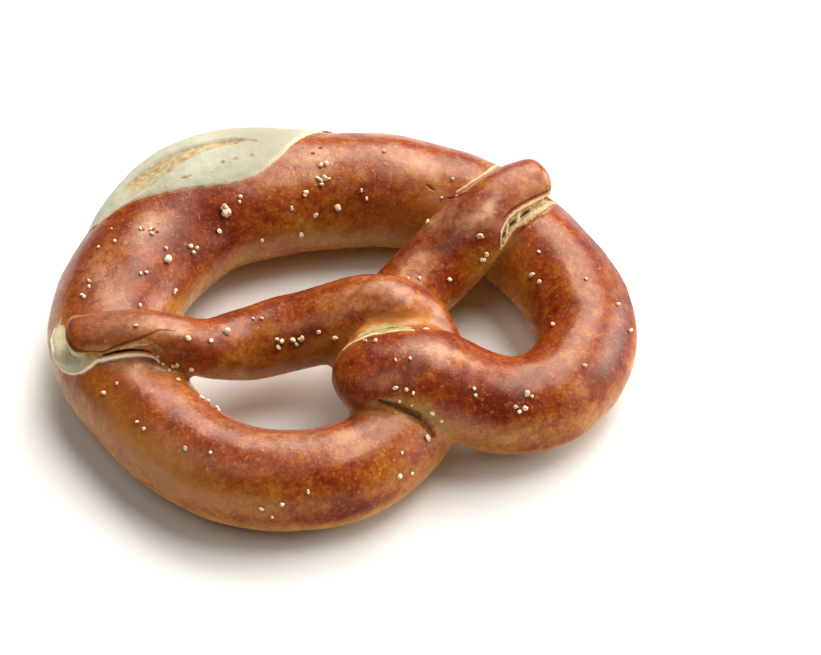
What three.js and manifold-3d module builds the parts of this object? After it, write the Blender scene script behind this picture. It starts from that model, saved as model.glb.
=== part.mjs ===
// A soft pretzel: one rope of dough, thick at the belly and thin at both ends, twisted once and
// baked into a single piece. The rope is laid as a loop and two arms that cross it. The belly is
// split along its outer side, pale dough shows where the arms tore away from the loop, and coarse
// salt is baked on. All of it is one solid that rests on its flat baked underside.
//
// Millimetres and degrees, +Z up. The origin is under the middle of the pretzel, on its underside.
// +Y points to the belly, -Y to the two loops, and the arms' ends lie level along X.

import * as THREE from 'three';
import { mergeVertices } from 'three/addons/utils/BufferGeometryUtils.js';
import Module from 'manifold-3d';

const wasm = await Module();
wasm.setup();

// ---- Driving dimensions ----

// The rope's middle line: x, y, z, and its full width and height there, one row a station.
// The loop starts under the twist and runs by the left loop, the belly and the right loop to the
// rounded bend that lies on top of the twist.
const LOOP = [
  [12, -38.5, 12, 20, 20],
  [2.5, -47.3, 13.3, 24, 26],
  [-10, -53.2, 13.2, 26.4, 26.7],
  [-23, -54.8, 13, 26.6, 27],
  [-36.8, -50.4, 13, 26.8, 27],
  [-48.8, -41.3, 13, 27.5, 27],
  [-57, -26.5, 13, 28.5, 27],
  [-61, -9.5, 13, 29.5, 27],
  [-61.5, 7.5, 13.5, 33, 27.5],
  [-56, 22.5, 14, 35.5, 28.5],
  [-44, 34.5, 15, 37, 30.5],
  [-30, 43.5, 15.5, 39, 32],
  [-16, 48.5, 16, 41, 33.5],
  [0, 46.5, 16, 40.5, 33],
  [18, 40.5, 15, 36.5, 31.5],
  [33.4, 33.1, 15.1, 35.4, 31.2],
  [46, 23.5, 14, 33, 29],
  [55.5, 11.7, 14, 31, 28],
  [60.6, -3.3, 13.5, 30.2, 27.5],
  [62.6, -17.5, 13.5, 29.8, 27.5],
  [62.2, -30.5, 13.5, 29.5, 27.5],
  [58, -43.5, 13.5, 28, 27.5],
  [49, -53, 14, 27, 27],
  [37, -57.5, 14.5, 27, 27],
  [26, -56, 16, 27, 26],
  [17.5, -51, 19.5, 27, 25],
  [8, -44.5, 25.5, 28, 23],
  [-3, -38.3, 26.5, 27, 18],
  [-13.5, -30.5, 24, 22, 13],
];

// From the twist, up over the other arm and out to the end that lies on the left of the loop.
const LEFT_ARM = [
  [13, -39.5, 12, 20, 20],
  [17.5, -32.3, 14, 17, 20],
  [16, -26, 20, 17, 20],
  [12, -22.5, 25.5, 20, 20],
  [5, -16.5, 25.5, 21.5, 20],
  [-5.5, -12.5, 22, 22.5, 20],
  [-16, -8.5, 19, 22.5, 20],
  [-28.5, -5.8, 18.2, 20.5, 18.8],
  [-39, -6, 22, 17, 16],
  [-46.5, -4.5, 27, 14, 14],
  [-53, -0.5, 30, 13.5, 11],
  [-61.5, 4.5, 30, 13, 9.5],
  [-73.5, 9.5, 29, 12.5, 8.5],
];

// From the rounded bend, under the other arm and out to the end on the right of the loop.
const RIGHT_ARM = [
  [-5, -31, 20, 20, 17],
  [5, -17.5, 15, 21, 18],
  [21, -7.5, 15, 22, 19],
  [35.5, -3, 19, 23, 20],
  [44.5, -1.5, 26, 22, 17],
  [52, 1.3, 29.5, 17, 14],
  [60, 3.2, 30.5, 15.5, 12],
  [71, 4.2, 30, 13.5, 9.5],
];

// The loop is swept in two lengths that share one section, at this station, because its last
// stretch lies over its first.
const LOOP_JOIN = 13;

// Places on a rope are given as a station, whole or between two, and a turn about its middle line:
// 0 is the side towards the holes on the loop, 90 the top, 180 the outer side.
const SPLIT = {
  station: 12.25,
  halfLength: 2.1,
  turn: 140,
  halfTurnOverTop: 66,
  halfTurnOutside: 50,
  endPower: 1.3,
  proud: 2.5,
  proudPower: 0.4,
  proudStation: -0.85,
  sunk: 6,
};

const TEAR = { from: [10.6, 128], to: [12.7, 105], width: 4, depth: 1.2 };

// Pale torn dough in the creases: the points it runs through, its width and its height.
const SEAMS = [
  { through: [[-71.8, 19.3, 22.5], [-74, 15.5, 21.4], [-74.6, 9.3, 21.7], [-73, 4.2, 23.2], [-69.5, 0.9, 25.2]], width: 5.4, height: 4.6 },
  { through: [[-70, 0.9, 25], [-64.5, -1.2, 27], [-59, -3.8, 28.2], [-55, -5.6, 28], [-52.3, -9.6, 24.6]], width: 3, height: 3.8 },
  { through: [[47.9, -11.6, 26.6], [51, -8.8, 28.2], [56, -6.6, 28.6], [62, -5, 28.4], [67.3, -2.6, 27.2], [71, 0, 25.2]], width: 3.8, height: 4 },
  { through: [[-9.5, -30, 29], [-4.5, -26.8, 30], [1.5, -26.4, 30.2], [7.5, -29, 30.6], [13, -31.4, 30.2], [17.5, -33, 28]], width: 3.6, height: 3.6 },
];

// Salt: rope, station, turn, how far the grains scatter along and round the rope, how many, and
// the size of a grain.
const SALT = [
  ['loop', 11.8, 46, 0, 0, 1, 3.2],
  ['loop', 10, 52, 0, 0, 1, 2.2],
  ['loop', 10.15, 59, 0, 0, 1, 1.3],
  ['loop', 10.35, 82, 0.1, 6, 3, 1.2],
  ['loop', 10.6, 44, 0.15, 9, 3, 1.3],
  ['loop', 11.3, 35, 0, 0, 1, 1.4],
  ['loop', 9.5, 63, 0.05, 4, 2, 1.3],
  ['loop', 9.6, 27, 0.1, 4, 2, 1.2],
  ['loop', 8.85, 106, 0.25, 7, 4, 1.2],
  ['loop', 8.65, 59, 0, 0, 1, 1.2],
  ['loop', 9.95, 105, 0.3, 12, 3, 1],
  ['loop', 12.4, 53, 0.15, 4, 2, 1.1],
  ['loop', 12.8, 9, 0, 0, 1, 1.3],
  ['loop', 13.55, 7, 0, 0, 1, 1.5],
  ['loop', 13.3, 48, 0.1, 18, 2, 1.1],
  ['loop', 13.85, 55, 0.25, 9, 7, 1.4],
  ['loop', 14, 73, 0.08, 3, 2, 1.3],
  ['loop', 14.2, 33, 0, 0, 1, 1.9],
  ['loop', 13.8, 27, 0, 0, 1, 1.2],
  ['loop', 14.6, 46, 0.2, 9, 2, 1.1],
  ['loop', 15, 90, 0, 0, 1, 1.2],
  ['loop', 16.35, 60, 0.1, 22, 3, 1.3],
  ['loop', 17.4, 120, 0.6, 18, 3, 1.1],
  ['loop', 19.4, 44, 0, 0, 1, 2.2],
  ['loop', 19.75, 46, 0, 0, 1, 1.5],
  ['loop', 19.05, 66, 0, 0, 1, 1.2],
  ['loop', 20.25, 93, 0, 0, 1, 1.1],
  ['loop', 21.55, 50, 0, 0, 1, 1.2],
  ['loop', 21.6, 135, 0.9, 22, 4, 1.1],
  ['loop', 24, 127, 0.35, 12, 5, 1.3],
  ['loop', 25.2, 125, 0.15, 5, 2, 1.2],
  ['loop', 26.5, 142, 0.25, 12, 3, 1.2],
  ['loop', 26.6, 108, 0.15, 4, 2, 1.1],
  ['loop', 27.4, 73, 0.35, 3, 2, 1.3],
  ['loop', 6.85, 57, 0.25, 8, 4, 1.3],
  ['loop', 7.2, 122, 0.25, 12, 2, 1.1],
  ['loop', 5.9, 36, 0.3, 8, 5, 1.2],
  ['loop', 6.1, 126, 0.25, 8, 2, 1.3],
  ['loop', 5.5, 118, 0, 0, 1, 1.8],
  ['loop', 5.15, 111, 0, 0, 1, 1.4],
  ['loop', 4.3, 165, 0.3, 12, 3, 1.2],
  ['loop', 3.65, 142, 0, 0, 1, 1.1],
  ['loop', 2.2, 150, 0.2, 16, 3, 1.2],
  ['loop', 1.55, 143, 0, 0, 1, 1.9],
  ['left', 6, 138, 0.45, 18, 7, 1.5],
  ['left', 4.85, 152, 0, 0, 1, 1.9],
  ['left', 5.15, 138, 0, 0, 1, 1.3],
  ['left', 7.9, 104, 0, 0, 1, 2.1],
  ['left', 8.45, 122, 0.12, 4, 2, 1.6],
  ['left', 9.05, 121, 0, 0, 1, 1.9],
  ['left', 6.65, 98, 0.3, 6, 2, 1],
  ['left', 8.65, 195, 0, 0, 1, 1.2],
  ['left', 10.35, 109, 0, 0, 1, 1.1],
  ['right', 3.95, 50, 0, 0, 1, 1.8],
  ['right', 3.7, 16, 0.1, 10, 3, 1.4],
  ['right', 2.6, 38, 0, 0, 1, 1.4],
  ['right', 2.05, 76, 0.12, 8, 3, 1.1],
  ['right', 3.4, 133, 0, 0, 1, 1.4],
];

const SALT_SUNK = 0.25; // share of a grain's size that lies under the crust
const SALT_SEED = 1712;

const ROPE_SIDES = 24;
const ARM_SIDES = 16;
const STEP = 5.9; // length of rope between two sections
const THREAD_SIDES = 6;
const THREAD_ROWS = 9;
const END_ROWS = 4; // sections that round off a free end
const TRAY = { size: 300, depth: 20 }; // what the flat underside is pressed on

const CRUST = { color: 0xa5572b, roughness: 0.5, metalness: 0 };

// ---- Ropes ----

const UP = new THREE.Vector3(0, 0, 1);

function makeRope(stations) {
  const middle = stations.map(([x, y, z]) => new THREE.Vector3(x, y, z));
  const sizes = stations.map(([, , , width, height]) => new THREE.Vector3(width, height, 0));
  return {
    last: stations.length - 1,
    line: new THREE.CatmullRomCurve3(middle),
    sizes: new THREE.CatmullRomCurve3(sizes, false, 'catmullrom'),
  };
}

const ropes = { loop: makeRope(LOOP), left: makeRope(LEFT_ARM), right: makeRope(RIGHT_ARM) };

// The section at a station: its middle, half sizes, and the directions sideways and upwards.
function sectionAt(rope, station) {
  const t = THREE.MathUtils.clamp(station / rope.last, 0, 1);
  const along = rope.line.getTangent(t);
  const side = new THREE.Vector3().crossVectors(along, UP).normalize();
  const size = rope.sizes.getPoint(t);
  return {
    middle: rope.line.getPoint(t),
    side,
    up: new THREE.Vector3().crossVectors(side, along),
    halfWidth: size.x / 2,
    halfHeight: size.y / 2,
  };
}

// A point of a section: (across, above) is (1, 0) at its side and (0, 1) at its top.
function sectionPoint(section, across, above, lift = 0) {
  return section.middle.clone()
    .addScaledVector(section.side, across * (section.halfWidth + lift))
    .addScaledVector(section.up, above * (section.halfHeight + lift));
}

function surfacePoint(rope, station, turn, lift = 0) {
  const angle = THREE.MathUtils.degToRad(turn);
  return sectionPoint(sectionAt(rope, station), Math.cos(angle), Math.sin(angle), lift);
}

// Rows for a length of rope: a station for each, and the share of the full section that it has.
function ropeRows(rope, from, to, { roundStart, roundEnd }) {
  const steps = 40 * rope.last;
  const stations = [];
  const lengths = [0];
  for (let i = 0; i <= steps; i++) stations.push(THREE.MathUtils.lerp(from, to, i / steps));
  for (let i = 1; i <= steps; i++) {
    const before = rope.line.getPoint(stations[i - 1] / rope.last);
    lengths.push(lengths[i - 1] + before.distanceTo(rope.line.getPoint(stations[i] / rope.last)));
  }
  const total = lengths[steps];
  const stationAt = (length) => {
    const next = Math.max(1, lengths.findIndex((value) => value >= length - 1e-6));
    const share = (length - lengths[next - 1]) / (lengths[next] - lengths[next - 1]);
    return THREE.MathUtils.lerp(stations[next - 1], stations[next], share);
  };
  const rows = [];
  const round = (radius, place) => {
    for (let i = 0; i < END_ROWS; i++) {
      const angle = (Math.PI / 2) * ((i + 0.45) / END_ROWS);
      rows.push({ length: place(radius * (1 - Math.cos(angle))), share: Math.sin(angle) });
    }
  };
  const start = roundStart ?? 0;
  const end = total - (roundEnd ?? 0);
  if (roundStart) round(roundStart, (back) => back);
  const count = Math.round((end - start) / STEP);
  for (let i = 0; i <= count; i++) rows.push({ length: start + ((end - start) * i) / count, share: 1 });
  if (roundEnd) round(roundEnd, (back) => total - back);
  rows.sort((a, b) => a.length - b.length);
  return rows.map(({ length, share }) => ({ station: stationAt(length), share }));
}

// A closed cylinder bent along the rope, each of its rows set on the rope's own section.
function ropeGeometry(rope, from, to, sides, ends) {
  const rows = ropeRows(rope, from, to, ends);
  const sections = rows.map(({ station }) => sectionAt(rope, station));
  const geometry = new THREE.CylinderGeometry(1, 1, 1, sides, rows.length - 1);
  return movePoints(geometry, (point) => {
    const row = Math.round((0.5 - point.y) * (rows.length - 1));
    const { share } = rows[row];
    return sectionPoint(sections[row], point.z * share, point.x * share);
  });
}

function movePoints(geometry, place) {
  const { position } = geometry.attributes;
  const point = new THREE.Vector3();
  for (let i = 0; i < position.count; i++) {
    point.fromBufferAttribute(position, i);
    position.setXYZ(i, ...place(point).toArray());
  }
  return geometry;
}

// ---- Split belly, tear and seams ----

// A ball pulled out along the rope, its poles at the split's two ends.
function splitGeometry() {
  const ball = new THREE.SphereGeometry(1, 16, 20).rotateZ(Math.PI / 2);
  return movePoints(ball, ({ x, y, z }) => {
    const ring = Math.sqrt(Math.max(0, 1 - x * x));
    const width = (1 - x * x) ** SPLIT.endPower;
    const across = ring > 1e-6 ? y / ring : 0;
    const above = ring > 1e-6 ? z / ring : 0;
    const reach = across < 0 ? SPLIT.halfTurnOverTop : SPLIT.halfTurnOutside;
    const lean = 1 + SPLIT.proudStation * x;
    const swell = (1 - x * x) ** SPLIT.proudPower;
    const lift = above > 0 ? SPLIT.proud * lean * swell : SPLIT.sunk * width;
    const turn = SPLIT.turn + across * reach * width;
    return surfacePoint(ropes.loop, SPLIT.station + x * SPLIT.halfLength, turn, above * lift);
  });
}

// A thread that swells to its full width between its two ends, drawn through the given points.
function threadGeometry(points, width, height) {
  const line = new THREE.CatmullRomCurve3(points);
  const thread = new THREE.CylinderGeometry(1, 1, 1, THREAD_SIDES, THREAD_ROWS);
  return movePoints(thread, ({ x, y, z }) => {
    const t = 0.5 - y;
    const along = line.getTangent(t);
    const side = new THREE.Vector3().crossVectors(along, UP).normalize();
    const up = new THREE.Vector3().crossVectors(side, along);
    const swell = 0.15 + 0.85 * Math.sin(Math.PI * t) ** 0.6;
    return line.getPoint(t)
      .addScaledVector(side, (z * swell * width) / 2)
      .addScaledVector(up, (x * swell * height) / 2);
  });
}

function tearGeometry() {
  const points = [];
  for (let i = 0; i <= 4; i++) {
    const station = THREE.MathUtils.lerp(TEAR.from[0], TEAR.to[0], i / 4);
    const turn = THREE.MathUtils.lerp(TEAR.from[1], TEAR.to[1], i / 4);
    const share = (station - SPLIT.station) / SPLIT.halfLength;
    const proud = SPLIT.proud * (1 + SPLIT.proudStation * share) * (1 - share * share);
    points.push(surfacePoint(ropes.loop, station, turn, proud));
  }
  return threadGeometry(points, TEAR.width, 2 * TEAR.depth);
}

function seamGeometry({ through, width, height }) {
  return threadGeometry(through.map((point) => new THREE.Vector3(...point)), width, height);
}

// ---- Salt ----

function seededRandom(seed) {
  let state = seed;
  return () => {
    state = (state * 16807) % 2147483647;
    return state / 2147483647;
  };
}

function saltGeometries() {
  const random = seededRandom(SALT_SEED);
  const spread = (reach) => reach * (2 * random() - 1);
  const grains = [];
  for (const [rope, station, turn, alongReach, turnReach, count, size] of SALT) {
    for (let i = 0; i < count; i++) {
      const place = [station + spread(alongReach), turn + spread(turnReach)];
      const radius = (size / 2) * (0.95 + spread(0.15));
      const stretch = [1 + spread(0.2), 1 + spread(0.2), 0.9 + spread(0.15)];
      const spin = new THREE.Euler(spread(Math.PI), spread(Math.PI), spread(Math.PI));
      const centre = surfacePoint(ropes[rope], ...place, radius * (1 - 2 * SALT_SUNK));
      const grain = new THREE.IcosahedronGeometry(radius, 0).scale(...stretch);
      const turned = new THREE.Matrix4().makeRotationFromEuler(spin).setPosition(centre);
      grains.push(grain.applyMatrix4(turned));
    }
  }
  return grains;
}

// ---- Solids ----

function solidOf(geometry) {
  const bare = geometry.clone();
  for (const name of Object.keys(bare.attributes)) if (name !== 'position') bare.deleteAttribute(name);
  const merged = mergeVertices(bare, 1e-4);
  return new wasm.Manifold(new wasm.Mesh({
    numProp: 3,
    vertProperties: new Float32Array(merged.attributes.position.array),
    triVerts: new Uint32Array(merged.index.array),
  }));
}

const joined = (geometries) => geometries.map(solidOf).reduce((whole, piece) => whole.add(piece));

function geometryOf(solid) {
  const { vertProperties, triVerts } = solid.getMesh();
  const geometry = new THREE.BufferGeometry();
  geometry.setAttribute('position', new THREE.BufferAttribute(vertProperties, 3));
  geometry.setIndex(new THREE.BufferAttribute(triVerts, 1));
  return geometry;
}

function bakedDough() {
  const { loop, left, right } = ropes;
  const dough = joined([
    ropeGeometry(loop, 0, LOOP_JOIN, ROPE_SIDES, { roundStart: 9 }),
    ropeGeometry(loop, LOOP_JOIN, loop.last, ROPE_SIDES, { roundEnd: 10 }),
    ropeGeometry(left, 0, left.last, ARM_SIDES, { roundStart: 9, roundEnd: 2.5 }),
    ropeGeometry(right, 0, right.last, ARM_SIDES, { roundStart: 9, roundEnd: 3.5 }),
    splitGeometry(),
    ...SEAMS.map(seamGeometry),
  ]);
  const tray = new THREE.BoxGeometry(TRAY.size, TRAY.size, TRAY.depth).translate(0, 0, -TRAY.depth / 2);
  const flat = dough.subtract(solidOf(tearGeometry())).subtract(solidOf(tray));
  const salted = flat.add(joined(saltGeometries()));
  const [largest] = salted.decompose().sort((a, b) => b.volume() - a.volume());
  return largest;
}

const pretzel = new THREE.Mesh(geometryOf(bakedDough()), new THREE.MeshStandardMaterial(CRUST));
pretzel.name = 'pretzel';

const group = new THREE.Group();
group.add(pretzel);

export default group;
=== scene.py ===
"""A soft pretzel lying flat: one twisted rope of dough under a browned crust, with a pale split
belly, torn dough in the creases and coarse baked-on salt. Dough is shaped in millimetres and
brought to metres at the end. +Y points to the belly, -Y to the two loops."""

import math

import bmesh
import bpy
import numpy as np
from mathutils import Euler, Matrix, Vector, noise
from mathutils.bvhtree import BVHTree
from mathutils.kdtree import KDTree


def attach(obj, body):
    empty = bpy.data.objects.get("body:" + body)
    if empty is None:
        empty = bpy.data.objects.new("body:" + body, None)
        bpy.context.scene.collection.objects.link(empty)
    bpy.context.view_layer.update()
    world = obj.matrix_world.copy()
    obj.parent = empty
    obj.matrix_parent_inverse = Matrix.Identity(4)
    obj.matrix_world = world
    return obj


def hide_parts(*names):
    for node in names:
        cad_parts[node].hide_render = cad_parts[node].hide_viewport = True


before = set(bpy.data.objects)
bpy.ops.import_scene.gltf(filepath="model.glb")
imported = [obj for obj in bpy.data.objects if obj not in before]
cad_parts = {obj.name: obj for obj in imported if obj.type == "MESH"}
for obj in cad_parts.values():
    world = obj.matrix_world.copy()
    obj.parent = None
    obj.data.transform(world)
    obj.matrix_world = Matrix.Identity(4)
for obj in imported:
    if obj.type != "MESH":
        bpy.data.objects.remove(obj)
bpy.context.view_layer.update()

MM = 0.001
FAR = 30.0  # stands for skin away from the split, and for skin with no other rope near it

# ---- The rope of dough: x, y, z of its middle line, its width and its height, one row a station ----

LOOP = [
    (12, -38.5, 12, 20, 20),
    (2.5, -47.3, 13.3, 24, 26),
    (-10, -53.2, 13.2, 26.4, 26.7),
    (-23, -54.8, 13, 26.6, 27),
    (-36.8, -50.4, 13, 26.8, 27),
    (-48.8, -41.3, 13, 27.5, 27),
    (-57, -26.5, 13, 28.5, 27),
    (-61, -9.5, 13, 29.5, 27),
    (-61.5, 7.5, 13.5, 33, 27.5),
    (-56, 22.5, 14, 35.5, 28.5),
    (-44, 34.5, 15, 37, 30.5),
    (-30, 43.5, 15.5, 39, 32),
    (-16, 48.5, 16, 41, 33.5),
    (0, 46.5, 16, 40.5, 33),
    (18, 40.5, 15, 36.5, 31.5),
    (33.4, 33.1, 15.1, 35.4, 31.2),
    (46, 23.5, 14, 33, 29),
    (55.5, 11.7, 14, 31, 28),
    (60.6, -3.3, 13.5, 30.2, 27.5),
    (62.6, -17.5, 13.5, 29.8, 27.5),
    (62.2, -30.5, 13.5, 29.5, 27.5),
    (58, -43.5, 13.5, 28, 27.5),
    (49, -53, 14, 27, 27),
    (37, -57.5, 14.5, 27, 27),
    (26, -56, 16, 27, 26),
    (17.5, -51, 19.5, 27, 25),
    (8, -44.5, 25.5, 28, 23),
    (-3, -38.3, 26.5, 27, 18),
    (-13.5, -30.5, 24, 22, 13),
]
LEFT_ARM = [
    (13, -39.5, 12, 20, 20),
    (17.5, -32.3, 14, 17, 20),
    (16, -26, 20, 17, 20),
    (12, -22.5, 25.5, 20, 20),
    (5, -16.5, 25.5, 21.5, 20),
    (-5.5, -12.5, 22, 22.5, 20),
    (-16, -8.5, 19, 22.5, 20),
    (-28.5, -5.8, 18.2, 20.5, 18.8),
    (-39, -6, 22, 17, 16),
    (-46.5, -4.5, 27, 14, 14),
    (-53, -0.5, 30, 13.5, 11),
    (-61.5, 4.5, 30, 13, 9.5),
    (-73.5, 9.5, 29, 12.5, 8.5),
]
RIGHT_ARM = [
    (-5, -31, 20, 20, 17),
    (5, -17.5, 15, 21, 18),
    (21, -7.5, 15, 22, 19),
    (35.5, -3, 19, 23, 20),
    (44.5, -1.5, 26, 22, 17),
    (52, 1.3, 29.5, 17, 14),
    (60, 3.2, 30.5, 15.5, 12),
    (71, 4.2, 30, 13.5, 9.5),
]
LOOP_JOIN = 13

# Lengths of rope: rope, from station, to station, rounding of its start and of its end.
LENGTHS = [
    ("loop", 0, LOOP_JOIN, 9, 0),
    ("loop", LOOP_JOIN, 28, 0, 10),
    ("left", 0, 12, 9, 2.5),
    ("right", 0, 7, 9, 3.5),
]
ROPE_SIDES = 48
ROW_STEP = 2.4
END_ROWS = 8
THREAD_SIDES = 12
THREAD_ROWS = 25
VOXEL = 1.0
TRAY_PRESS = 0.35  # skin nearer than this to the tray lies flat on it
WAVE_HEIGHT, WAVE_SIZE = 0.35, 11
RIPPLE_HEIGHT, RIPPLE_SIZE = 0.1, 3.2

# How near to the split's edge, a fine line or a seam's thread the skin is split finer, and finer
# again.
EDGE_FINE, EDGE_FINER = 1.8, 0.6
LINE_FINE, LINE_FINER = 1.1, 0.4
SEAM_FINE = 1.4

# ---- Places on the crust, as station and turn: 0 is the side to the holes, 90 the top ----

SPLIT_OVER_TOP = [
    (10.15, 152), (10.25, 136), (10.5, 123), (10.75, 111.5), (11, 98), (11.25, 88.5), (11.5, 80.5),
    (11.8, 73), (12.05, 69), (12.35, 66.5), (12.6, 67), (12.83, 69), (12.98, 72), (13.12, 76.5),
    (13.25, 83), (13.38, 90.5), (13.5, 99.5), (13.62, 109), (13.75, 118.5), (13.93, 131),
    (14.07, 146), (14.2, 165),
]
SPLIT_OUTSIDE = [
    (10.15, 152), (10.4, 166), (10.9, 180), (11.5, 188), (12.2, 191), (13, 188), (13.7, 180),
    (14.1, 170), (14.2, 165),
]
SPLIT_STATION, SPLIT_HALF_LENGTH = 12.25, 2.1
SPLIT_TURN = 140.0
SPLIT_PACE = 15.0  # length of rope from one station to the next
SPLIT_PROUD = 2.4
# The tear along the split: station, turn and width.
TRENCH = [
    (10.5, 131, 5), (10.8, 123, 8), (11.1, 119, 10), (11.5, 113, 8.4), (11.85, 109, 6.4),
    (12.15, 107, 4.6), (12.5, 107, 3.6), (13, 103, 2.4),
]
TRENCH_DEPTH = 1.1
LIP_HEIGHT = 0.08  # of the crust along the split
TRENCH_OPENS, TRENCH_CLOSES = (10.5, 11.3), (12.55, 13.0)

# Torn dough in the creases: the points it runs through, its width and its height, and whether the
# whole thread is bare of crust.
SEAMS = [
    {"name": "crescent", "width": 5.4, "height": 4.6, "bare": True,
     "through": [(-71.8, 19.3, 22.5), (-74, 15.5, 21.4), (-74.6, 9.3, 21.7), (-73, 4.2, 23.2),
                 (-69.5, 0.9, 25.2)]},
    {"name": "left_crack", "width": 3, "height": 3.8, "bare": False,
     "through": [(-70, 0.9, 25), (-64.5, -1.2, 27), (-59, -3.8, 28.2), (-55, -5.6, 28),
                 (-52.3, -9.6, 24.6)]},
    {"name": "right_crack", "width": 3.8, "height": 4, "bare": False,
     "through": [(47.9, -11.6, 26.6), (51, -8.8, 28.2), (56, -6.6, 28.6), (62, -5, 28.4),
                 (67.3, -2.6, 27.2), (71, 0, 25.2)]},
    {"name": "twist_crack", "width": 3.6, "height": 3.6, "bare": False,
     "through": [(-9.5, -30, 29), (-4.5, -26.8, 30), (1.5, -26.4, 30.2), (7.5, -29, 30.6),
                 (13, -31.4, 30.2), (17.5, -33, 28)]},
]

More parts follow.
